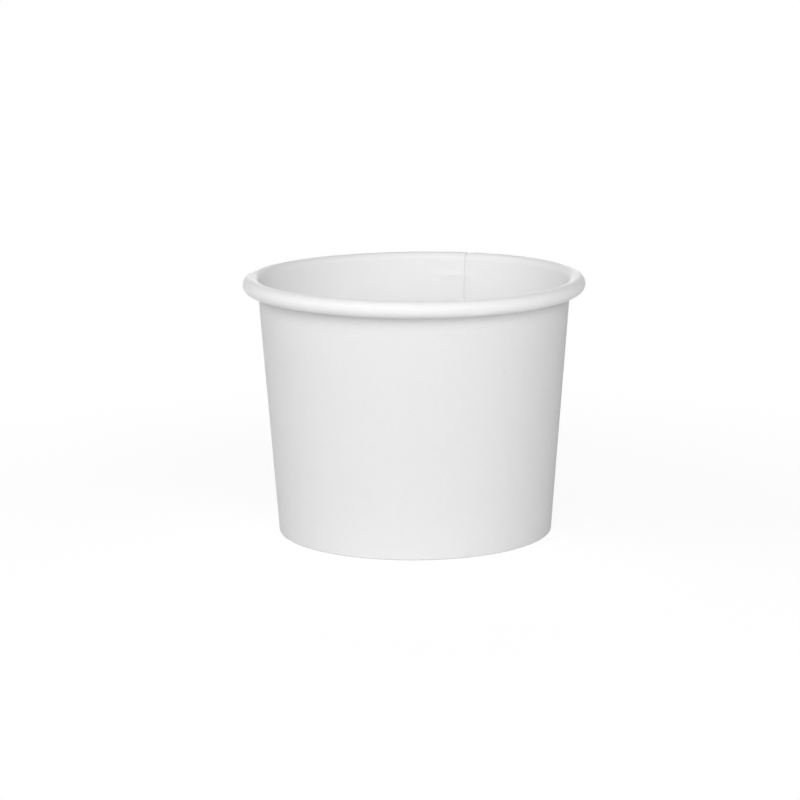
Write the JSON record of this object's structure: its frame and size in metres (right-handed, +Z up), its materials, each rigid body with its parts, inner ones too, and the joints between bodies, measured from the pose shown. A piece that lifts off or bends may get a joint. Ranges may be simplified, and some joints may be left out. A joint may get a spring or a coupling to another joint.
{
  "type": "paper sundae cup",
  "caption": "Squat tapered paper cup with a curled rim, a lapped side seam and a recessed base disc clamped by a folded foot.",
  "frame": {"origin": "centre of the foot, on the surface that the cup stands on", "axes": "+Z up along the cup's axis; the raw inner edge of the side seam lies 71.5 degrees from +X towards +Y, at the back"},
  "size_m": [0.086, 0.086, 0.0652],
  "materials": {
    "sidewall_board": "plain white coated paperboard, matt outside with a slight sheen inside",
    "base_board": "plain white coated paperboard"
  },
  "bodies": {
    "root": {"sidewall": "sidewall_board", "base": "base_board"}
  },
  "joints": []
}
